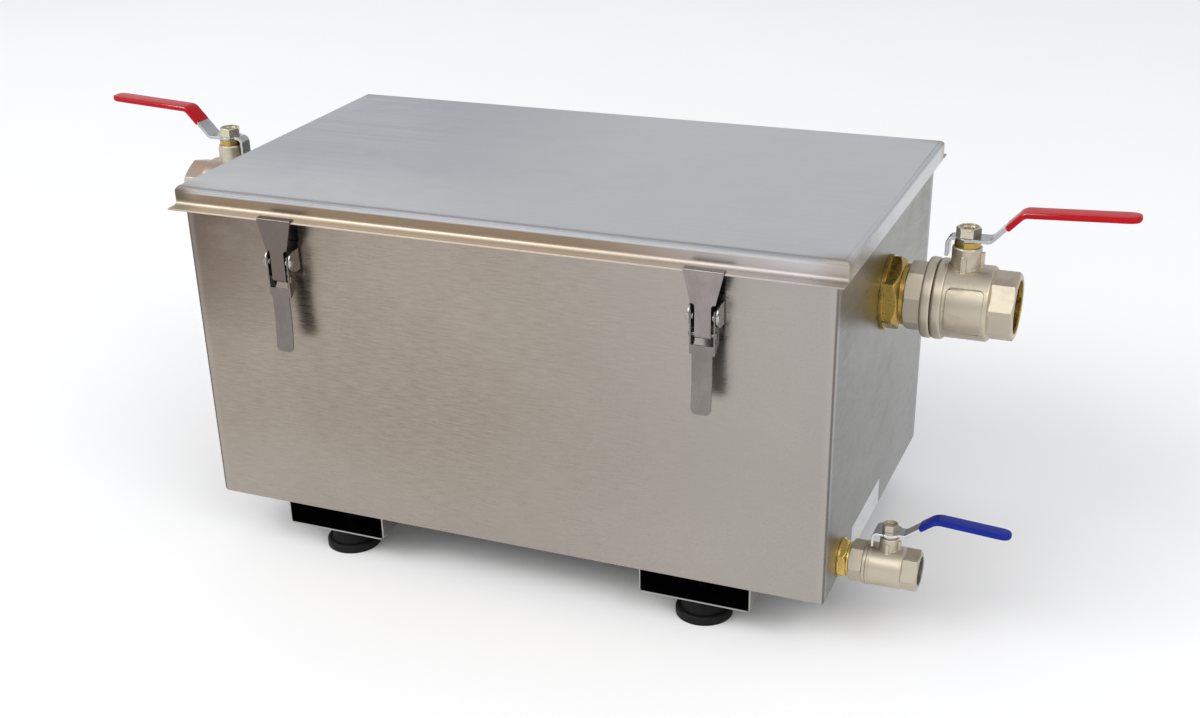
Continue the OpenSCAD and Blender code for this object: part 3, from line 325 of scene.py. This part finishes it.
# Label: a blank strip of pale film at the foot of the outlet wall, rolled on flat.
# Its corners are rounded and its edge is as thin as the film.
film_low, film_high, film_thick, film_corner = (-0.080, 0.0495), (0.018, 0.0745), 0.00015, 0.002
outlet_wall_x = 0.2925
film_size = (film_high[1] - film_low[1], film_high[0] - film_low[0], 1)
bpy.ops.mesh.primitive_plane_add(size=1, location=(0, 0, 0))
label = bpy.context.object
label.name = "blank_label"
bpy.ops.object.mode_set(mode="EDIT")
bpy.ops.mesh.select_all(action="SELECT")
bpy.ops.transform.resize(value=film_size, center_override=(0, 0, 0))
bpy.ops.mesh.bevel(offset=film_corner, segments=4, affect="VERTICES")
bpy.ops.object.mode_set(mode="OBJECT")
label.rotation_euler = (0, math.pi / 2, 0)
film_middle = ((film_low[0] + film_high[0]) / 2, (film_low[1] + film_high[1]) / 2)
label.location = (outlet_wall_x + film_thick, *film_middle)
bpy.ops.object.transform_apply(location=True, rotation=True, scale=True)
film = label.modifiers.new("film", "SOLIDIFY")
film.thickness = film_thick
film.offset = -1
bpy.ops.object.modifier_apply(modifier="film")
label_film, tree, paper, place = new_material("label_film")
fibre = add_node(tree, "ShaderNodeTexNoise", None, {"Vector": place, "Scale": 180.0, "Detail": 4.0})
soiled = reckon(tree, "MULTIPLY", smudges(tree, place, 30.0), 0.5)
lay_tints(tree, paper, (0.62, 0.63, 0.63, 1), (soiled, (0.52, 0.52, 0.51, 1)))
tree.links.new(span(tree, fibre.outputs["Fac"], 0.3, 0.7, 0.35, 0.5), paper.inputs["Roughness"])
raise_surface(tree, paper, fibre.outputs["Fac"], 0.05, 0.0003)
label.data.materials.append(label_film)
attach(label, "tank")

# Inside: two baffles and a slotted basket of plain rolled sheet, welded or hung between the panels.
# They only show with the lid off, so their finish is a dull mill surface.
inner_steel = brushed_steel(
    "inner_steel", (0.40, 0.40, 0.39, 1), (0.34, 0.34, 0.33, 1), (60, 60, 60), 0.42, 0.55, 0.05)[0]
dress(["inlet_baffle", "outlet_baffle", "solids_basket"], inner_steel)

# Channels: two folded stainless channels welded across the underside, open side up against the tank.
# Their outside is brushed; their inside is painted nearly black as shade.
inside_z, inside_half, channel_left_x, channel_right_x = 0.0268, 0.0485, -0.172, 0.180


def channel_shade(tree, place):
    """1 inside the channels and under the tank, 0 on their outside."""
    along, _, up = axes(tree, place)
    above = span(tree, up, inside_z - 0.0004, inside_z, 0, 1)
    away = reckon(tree, "MINIMUM", apart(tree, along, channel_left_x), apart(tree, along, channel_right_x))
    within = span(tree, away, inside_half, inside_half + 0.0006, 1, 0)
    below = span(tree, up, 0.050, 0.055, 1, 0)
    return reckon(tree, "MULTIPLY", reckon(tree, "MULTIPLY", above, within), below)


channel_steel, tree, steel, place, colour = brushed_steel(
    "channel_steel", (0.46, 0.45, 0.43, 1), (0.39, 0.38, 0.36, 1), (300, 6, 300), 0.30, 0.42, 0.08)
# Painted shade: nearly black inside the channels and under the tank between their sides.
lay_tints(tree, steel, colour, (channel_shade(tree, place), (0.012, 0.012, 0.013, 1)))
dress(["channel_left", "channel_right"], channel_steel, sheet_edge)

# Fasteners: the bolts and nuts of the feet and the rivets of the latches, cold-formed in stainless.
# They are left bright, but for those inside the channels, which get the channels' painted shade.
fastener_steel, tree, steel, place, colour = brushed_steel(
    "fastener_steel", (0.58, 0.56, 0.53, 1), (0.46, 0.44, 0.41, 1), (200, 200, 200), 0.22, 0.34, 0.05)
lay_tints(tree, steel, colour, (channel_shade(tree, place), (0.02, 0.02, 0.02, 1)))
dress(["foot_bolts", "foot_nuts", "latch_rivets"], fastener_steel, 0.0002)

# Feet: four round rubber feet, each bolted through the web of a channel.
# The moulded rubber is a dull black with a fine grit and a little dust.
foot_rubber, tree, rubber, place = new_material("foot_rubber")
grit = add_node(tree, "ShaderNodeTexNoise", None, {"Vector": place, "Scale": 900.0, "Detail": 3.0})
dusty = span(tree, smudges(tree, place, 40.0), 0, 1, 0, 0.5)
lay_tints(tree, rubber, (0.005, 0.005, 0.0055, 1), (dusty, (0.014, 0.014, 0.014, 1)))
tree.links.new(span(tree, grit.outputs["Fac"], 0.3, 0.7, 0.5, 0.7), rubber.inputs["Roughness"])
rubber.inputs["Specular IOR Level"].default_value = 0.2
raise_surface(tree, rubber, grit.outputs["Fac"], 0.12, 0.0003)
dress(["rubber_feet"], foot_rubber, 0.0004)


# Bushings: brass fittings through the walls, each held by a backnut and a rubber washer inside.
# They are turned from hexagon bar, so their flats carry fine tool lines.
def worked_metal(name, clean, stained, stain_scale, stain_share, tool_scale, smooth, dull, relief, depth):
    """Turned or plated metal with fine tool lines and patches of stain."""
    material, tree, metal, place = new_material(name)
    metal.inputs["Metallic"].default_value = 1.0
    tool = add_node(tree, "ShaderNodeTexNoise", None, {"Vector": place, "Scale": tool_scale, "Detail": 4.0})
    patches = span(tree, smudges(tree, place, stain_scale), 0, 1, 0, stain_share)
    lay_tints(tree, metal, clean, (patches, stained))
    tree.links.new(span(tree, tool.outputs["Fac"], 0.3, 0.7, smooth, dull), metal.inputs["Roughness"])
    raise_surface(tree, metal, tool.outputs["Fac"], relief, depth)
    return material


brass = worked_metal("brass", (0.45, 0.308, 0.079, 1), (0.33, 0.22, 0.052, 1),
                     30.0, 0.25, 260.0, 0.22, 0.34, 0.03, 0.0002)
# The drain's bushing sits in shade, so it gets a paler copy of the brass: painted light.
painted_light_brass = worked_metal("painted_light_brass", (0.76, 0.55, 0.165, 1), (0.58, 0.41, 0.11, 1),
                           30.0, 0.25, 260.0, 0.22, 0.34, 0.03, 0.0002)
dress(["inlet_bushing", "outlet_bushing", "backnuts"], brass, 0.0004)
dress(["drain_bushing"], painted_light_brass, 0.0004)
dress(["inlet_gland", "outlet_gland", "inlet_stem", "outlet_stem"], brass, 0.0003)

# Seals: rubber washers under the backnuts, and a strip of rubber that is stuck under the rim of the lid.
# Both are cut from dark grey sheet with a matt, gritty skin.
seal_rubber, tree, rubber, place = new_material("seal_rubber")
grit = add_node(tree, "ShaderNodeTexNoise", None, {"Vector": place, "Scale": 700.0, "Detail": 3.0})
lay_tints(tree, rubber, (0.03, 0.03, 0.03, 1), (grit.outputs["Fac"], (0.06, 0.06, 0.06, 1)))
tree.links.new(span(tree, grit.outputs["Fac"], 0.3, 0.7, 0.6, 0.8), rubber.inputs["Roughness"])
raise_surface(tree, rubber, grit.outputs["Fac"], 0.15, 0.0004)
dress(["wall_washers", "lid_seal"], seal_rubber)

# Valve bodies: hot-forged brass in two halves screwed together, blasted and nickel plated outside.
# The skin keeps a fine forged grain; in the ports of the main valves the cut brass stays bare.
main_port_r, drain_port_r = 0.0224, 0.0122
inlet_axis, outlet_axis, drain_axis = (0, 0.286), (0, 0.261), (-0.114, 0.0645)
bare_brass, grey_plate = (0.58, 0.41, 0.11, 1), (0.34, 0.33, 0.30, 1)


def forged_nickel(name, axis, port_r, port_colour):
    """Nickel over forged brass, with another colour inside the port round the valve's axis."""
    material, tree, metal, place = new_material(name)
    metal.inputs["Metallic"].default_value = 1.0
    skin = add_node(tree, "ShaderNodeTexNoise", None,
                    {"Vector": place, "Scale": 650.0, "Detail": 5.0, "Roughness": 0.6})
    _, across, up = axes(tree, place)
    aside = reckon(tree, "SUBTRACT", across, axis[0])
    above = reckon(tree, "SUBTRACT", up, axis[1])
    away = reckon(tree, "SQRT", reckon(tree, "ADD", reckon(tree, "MULTIPLY", aside, aside),
                                       reckon(tree, "MULTIPLY", above, above)))
    dulled = span(tree, smudges(tree, place, 38.0), 0, 1, 0, 0.6)
    in_port = span(tree, away, port_r + 0.0001, port_r + 0.0006, 1, 0)
    lay_tints(tree, metal, (0.565, 0.505, 0.405, 1), (dulled, (0.42, 0.372, 0.29, 1)), (in_port, port_colour))
    tree.links.new(span(tree, skin.outputs["Fac"], 0.3, 0.7, 0.37, 0.50), metal.inputs["Roughness"])
    raise_surface(tree, metal, skin.outputs["Fac"], 0.16, 0.0003)
    return material


for valve, axis, port_r, port_colour in (
    ("inlet", inlet_axis, main_port_r, bare_brass),
    ("outlet", outlet_axis, main_port_r, bare_brass),
    ("drain", drain_axis, drain_port_r, grey_plate),
):
    skin_of_valve = forged_nickel(valve + "_nickel", axis, port_r, port_colour)
    dress([valve + "_valve_cap", valve + "_valve_body"], skin_of_valve, 0.0004)
drain_nickel = bpy.data.materials["drain_nickel"]


# Balls and seats: a chromed brass ball in each valve, held between two rings of white slippery plastic.
# They go in before the halves of the body are screwed together, and the ball turns with the stem.
def polished_skin(name, clean, worn, wear_scale, smooth, dull, metallic):
    """A smooth polished skin with patches that handling has worn."""
    material, tree, shader, place = new_material(name)
    shader.inputs["Metallic"].default_value = metallic
    wear = smudges(tree, place, wear_scale)
    lay_tints(tree, shader, clean, (wear, worn))
    tree.links.new(span(tree, wear, 0, 1, smooth, dull), shader.inputs["Roughness"])
    return material


ball_chrome = polished_skin("ball_chrome", (0.72, 0.72, 0.73, 1), (0.62, 0.62, 0.63, 1),
                            60.0, 0.06, 0.16, 1.0)
ptfe = polished_skin("ptfe", (0.84, 0.84, 0.82, 1), (0.76, 0.76, 0.73, 1), 80.0, 0.4, 0.55, 0.0)
dress(["inlet_ball", "outlet_ball", "drain_ball"], ball_chrome)
dress(["inlet_seats", "outlet_seats", "drain_seats"], ptfe)


# Port threads: the female pipe threads cut into the free ends of the three valves.
# Each is one V-shaped ridge that winds round the port; its first turn starts just inside the mouth.
def port_thread(name, mouth, toward, port_r, pitch, turns, material):
    """A winding ridge; mouth is the middle of the port's end, toward is -1 or 1 along X into the valve."""
    ridge, stands_out, lead_in, steps_a_turn = 0.5 * pitch, 0.35, 0.8, 40
    bpy.ops.mesh.primitive_circle_add(vertices=3, radius=ridge, fill_type="NOTHING",
                                      location=(0, 0, 0), rotation=(math.pi / 2, 0, math.pi / 2))
    thread = bpy.context.object
    thread.name = name
    bpy.ops.object.transform_apply(location=True, rotation=True, scale=True)
    bpy.ops.object.mode_set(mode="EDIT")
    bpy.ops.mesh.select_all(action="SELECT")
    bpy.ops.transform.rotate(value=math.pi / 2, orient_axis="X", center_override=(0, 0, 0))
    bpy.ops.transform.translate(value=(0, port_r - stands_out * ridge, 0))
    bpy.ops.object.mode_set(mode="OBJECT")
    wind = thread.modifiers.new("wind", "SCREW")
    wind.axis = "Z"
    wind.screw_offset = pitch
    wind.iterations = turns
    wind.steps = wind.render_steps = steps_a_turn
    wind.use_merge_vertices = True
    bpy.ops.object.modifier_apply(modifier="wind")
    bpy.ops.object.mode_set(mode="EDIT")
    bpy.ops.mesh.select_all(action="SELECT")
    bpy.ops.mesh.fill_holes(sides=3)
    bpy.ops.mesh.select_all(action="SELECT")
    bpy.ops.mesh.normals_make_consistent(inside=False)
    bpy.ops.object.mode_set(mode="OBJECT")
    thread.rotation_euler = (0, toward * math.pi / 2, 0)
    thread.location = (mouth[0] + toward * lead_in * pitch, mouth[1], mouth[2])
    bpy.ops.object.transform_apply(location=True, rotation=True, scale=True)
    bpy.ops.object.shade_smooth_by_angle(angle=math.radians(40))
    thread.data.materials.append(material)
    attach(thread, "tank")


main_mouth_x, main_pitch, main_turns = 0.401, 0.0023, 7
drain_mouth_x, drain_pitch, drain_turns = 0.3595, 0.0018, 6
port_thread("inlet_port_thread", (-main_mouth_x, *inlet_axis), 1,
            main_port_r, main_pitch, main_turns, brass)
port_thread("outlet_port_thread", (main_mouth_x, *outlet_axis), -1,
            main_port_r, main_pitch, main_turns, brass)
port_thread("drain_port_thread", (drain_mouth_x, *drain_axis), -1,
            drain_port_r, drain_pitch, drain_turns, drain_nickel)

# Handles: bent strips of steel on the flats of the stems, each held down by a plated nut with a dished top.
# Those of the main valves are zinc plated, and the drain's is chromed.
handle_steel = worked_metal("handle_steel", (0.45, 0.45, 0.46, 1), (0.33, 0.32, 0.31, 1),
                            40.0, 0.7, 300.0, 0.16, 0.28, 0.06, 0.0003)
nut_plate = worked_metal("nut_plate", (0.58, 0.54, 0.43, 1), (0.44, 0.39, 0.27, 1),
                         90.0, 0.8, 350.0, 0.2, 0.34, 0.06, 0.0003)
handle_chrome = polished_skin("handle_chrome", (0.66, 0.66, 0.67, 1), (0.52, 0.52, 0.53, 1),
                              60.0, 0.07, 0.18, 1.0)
dress(["inlet_handle", "outlet_handle"], handle_steel, 0.0005)
dress(["drain_handle"], handle_chrome, 0.0005)
dress(["drain_gland", "drain_stem", "drain_handle_nut"], drain_nickel, 0.0003)
dress(["inlet_handle_nut", "outlet_handle_nut"], nut_plate, 0.0003)


# Grips: soft vinyl that the far ends of the handles are dipped in, red on the main valves, blue on the drain.
# The dip leaves round edges, a half-round nose and a thinner rim where it ends on the bar.
def dip_sleeve(name, stem, route, bend_r, width, thick):
    """A sleeve along a bent bar: stem is its middle over the stem, route its start, elbow and nose."""
    rim, rim_length, round_edge, bend_steps = 0.95, 0.0015, 0.48, 6
    nose_turns = (20, 38, 54, 66, 76, 84)
    start, elbow, nose = (Vector((stem[0] + x, stem[1], stem[2] + z)) for x, z in route)
    rise, reach = (elbow - start).normalized(), (nose - elbow).normalized()
    steep, level = math.atan2(rise.z, rise.x), math.atan2(reach.z, reach.x)
    cut = bend_r * math.tan((steep - level) / 2)
    centre = elbow - rise * cut + Vector((rise.z, 0, -rise.x)) * bend_r
    stations = [(start + rise * rim_length, steep, 1 / rim, 1 / rim)]
    for step in range(bend_steps + 1):
        tilt = steep + (level - steep) * step / bend_steps
        stations.append((centre + bend_r * Vector((-math.sin(tilt), 0, math.cos(tilt))), tilt, 1, 1))
    stations.append((nose, level, 1, 1))
    flat_before, narrow_before = 1, 1
    for turn in nose_turns:
        along, narrow = math.sin(math.radians(turn)), math.cos(math.radians(turn))
        to_tip = (1 - along) * width / 2
        flat = math.sqrt(1 - max(0, 1 - 2 * to_tip / thick) ** 2)
        stations.append((nose + reach * along * width / 2, level, flat / flat_before, narrow / narrow_before))
        flat_before, narrow_before = flat, narrow
    bpy.ops.mesh.primitive_plane_add(size=1, location=(0, 0, 0))
    sleeve = bpy.context.object
    sleeve.name = name
    bpy.ops.object.mode_set(mode="EDIT")
    bpy.ops.mesh.select_all(action="SELECT")
    bpy.ops.transform.resize(value=(rim * thick, rim * width, 1), center_override=(0, 0, 0))
    bpy.ops.mesh.bevel(offset=round_edge * rim * thick, segments=6, affect="VERTICES")
    bpy.ops.mesh.select_all(action="SELECT")
    bpy.ops.transform.rotate(value=-(math.pi / 2 - steep), orient_axis="Y", center_override=(0, 0, 0))
    bpy.ops.transform.translate(value=start)
    here, tilt_here = start, steep
    for there, tilt, flatten, narrow in stations:
        bpy.ops.mesh.extrude_region_move(TRANSFORM_OT_translate={"value": there - here})
        if tilt != tilt_here:
            bpy.ops.transform.rotate(value=tilt - tilt_here, orient_axis="Y", center_override=there)
        if (flatten, narrow) != (1, 1):
            bpy.ops.transform.resize(value=(flatten, narrow, flatten), center_override=there)
        here, tilt_here = there, tilt
    bpy.ops.mesh.select_all(action="SELECT")
    bpy.ops.mesh.normals_make_consistent(inside=False)
    bpy.ops.object.mode_set(mode="OBJECT")
    bpy.ops.object.shade_smooth_by_angle(angle=math.radians(40))
    return sleeve


def vinyl_skin(name, deep, pale):
    """Dipped vinyl: nearly even in colour, glossy, a little uneven."""
    vinyl, tree, plastic, place = new_material(name)
    cloud = add_node(tree, "ShaderNodeTexNoise", None, {"Vector": place, "Scale": 60.0, "Detail": 3.0})
    lay_tints(tree, plastic, deep, (cloud.outputs["Fac"], pale))
    tree.links.new(span(tree, smudges(tree, place, 70.0), 0, 1, 0.20, 0.32), plastic.inputs["Roughness"])
    plastic.inputs["Specular IOR Level"].default_value = 0.13
    raise_surface(tree, plastic, cloud.outputs["Fac"], 0.10, 0.0008)
    return vinyl


red_vinyl = vinyl_skin("red_vinyl", (0.38, 0.002, 0.007, 1), (0.46, 0.004, 0.011, 1))
blue_vinyl = vinyl_skin("blue_vinyl", (0.004, 0.013, 0.20, 1), (0.007, 0.021, 0.27, 1))
outlet_bar, drain_bar, inlet_above_outlet = (0.356, 0, 0.3152), (0.3325, -0.114, 0.0969), 0.025
main_route = ((0.031, 0.013), (0.043, 0.026), (0.1222, 0.030))
drain_route = ((0.025, 0.00925), (0.037, 0.0185), (0.0892, 0.015))
outlet_sleeve = dip_sleeve("outlet_sleeve", outlet_bar, main_route, 0.0084, 0.0194, 0.0050)
bpy.ops.object.duplicate(linked=False)
inlet_sleeve = bpy.context.object
inlet_sleeve.name = "inlet_sleeve"
inlet_sleeve.rotation_euler = (0, 0, math.pi)
inlet_sleeve.location = (0, 0, inlet_above_outlet)
bpy.ops.object.transform_apply(location=True, rotation=True, scale=True)
drain_sleeve = dip_sleeve("drain_sleeve", drain_bar, drain_route, 0.0131, 0.0154, 0.0045)
for sleeve, valve, vinyl, slot in (
    (outlet_sleeve, "outlet", red_vinyl, "red_vinyl"),
    (inlet_sleeve, "inlet", red_vinyl, "red_vinyl"),
    (drain_sleeve, "drain", blue_vinyl, "blue_vinyl"),
):
    sleeve.data.materials.append(vinyl)
    dress([valve + "_grip"], vinyl)
    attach(sleeve, valve + "_handle")
    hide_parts(valve + "_grip")

# Lid: a folded stainless pan that lifts off, with a lip along each long side for the latches.
# Skirts show a painted warm reflection, lips a painted cream highlight; the corner welds leave a brown heat
# tint.
skirt_y, lip_dulls, bend_dulls = 0.1665, 0.22, 0.22
lid_steel, tree, steel, place, colour = brushed_steel(
    "lid_steel", (0.60, 0.605, 0.615, 1), (0.54, 0.545, 0.555, 1), (4, 500, 500), 0.26, 0.38, 0.08)
along, across, up = axes(tree, place)
endways, aside = reckon(tree, "ABSOLUTE", along), reckon(tree, "ABSOLUTE", across)
# Painted shade: a darker patch on the inlet half of the top, away from the front edge.
shaded = reckon(tree, "MULTIPLY", span(tree, along, -0.27, 0.08, 1, 0),
                span(tree, across, -0.15, -0.03, 0, 0.9))
skirt = span(tree, aside, skirt_y, skirt_y + 0.002, 0, 1)
# Painted shade darkens the top of the bends along the long edges, to damp their highlight; the bends are also
# rougher.
bend = reckon(tree, "MULTIPLY", span(tree, aside, skirt_y - 0.0012, skirt_y + 0.0008, 0, 1),
              span(tree, up, 0.3425, 0.3447, 0, 1))
below_bend = reckon(tree, "MULTIPLY", skirt, span(tree, up, 0.3405, 0.3425, 1, 0))
lip = reckon(tree, "MULTIPLY", skirt, span(tree, up, 0.3310, 0.3350, 1, 0))
heated = reckon(tree, "MULTIPLY", span(tree, endways, 0.262, 0.299, 0, 0.6),
                span(tree, aside, 0.148, 0.166, 0, 1))
# The skirts turn dark brown at their inlet end.
dark_inlet_end = reckon(tree, "MULTIPLY", span(tree, along, -0.2965, -0.2780, 0.8, 0),
                   reckon(tree, "MULTIPLY", skirt, span(tree, up, 0.3330, 0.3360, 0, 1)))
# Painted reflection: the skirts below the bend are warm brown and the lips pale cream, both fading to grey
# toward the outlet end.
toward_outlet = span(tree, along, 0.06, 0.30, 0, 1)
painted_skirt_reflection = blend_colours(tree, toward_outlet, (0.250, 0.190, 0.136, 1), (0.52, 0.495, 0.50, 1))
painted_lip_highlight = blend_colours(tree, toward_outlet, (0.62, 0.545, 0.44, 1), (0.52, 0.485, 0.48, 1))
lay_tints(tree, steel, colour,
          (shaded, (0.40, 0.405, 0.43, 1)),
          (bend, (0.27, 0.275, 0.29, 1)),
          (below_bend, painted_skirt_reflection),
          (lip, painted_lip_highlight),
          (heated, (0.34, 0.285, 0.205, 1)),
          (dark_inlet_end, (0.095, 0.080, 0.058, 1)))
brushed = steel.inputs["Roughness"].links[0].from_socket
satin = reckon(tree, "MULTIPLY_ADD", bend, bend_dulls, reckon(tree, "MULTIPLY_ADD", lip, lip_dulls, brushed))
tree.links.new(satin, steel.inputs["Roughness"])
dress(["lid"], lid_steel, 0.0003)

# Latches: four over-centre clasps of pressed stainless sheet, two on each long side.
# The base is welded to the wall, the lever turns on rivets and the hook on the lever's pin.
# The hook, lever and base are one steel in paler and darker copies, each darker toward the inlet end: painted
# light and shade.
for name, pale, deep, left_shade_share in (
    ("hook", (0.31, 0.277, 0.260, 1), (0.245, 0.218, 0.204, 1), 0.85),
    ("lever", (0.245, 0.223, 0.208, 1), (0.197, 0.178, 0.166, 1), 0.35),
    ("base", (0.50, 0.47, 0.445, 1), (0.40, 0.372, 0.35, 1), 0.2),
):
    latch_steel, tree, steel, place, colour = brushed_steel(
        "latch_" + name + "_steel", pale, deep, (80, 500, 40), 0.20, 0.32, 0.06)
    along, across, _ = axes(tree, place)
    tints = [(span(tree, along, -0.22, 0.15, left_shade_share, 0), (0.125, 0.100, 0.090, 1))]
    # Painted shade: the base's plate against the wall is nearly black, where the latch shades it.
    if name == "base":
        plate_shade = span(tree, reckon(tree, "ABSOLUTE", across), 0.1678, 0.1690, 0.9, 0)
        tints.append((plate_shade, (0.03, 0.025, 0.022, 1)))
    lay_tints(tree, steel, colour, *tints)
    pieces = [f"latch_{name}_{y}_{x}" for y in ("front", "rear") for x in ("left", "right")]
    dress(pieces, latch_steel, 0.00025)
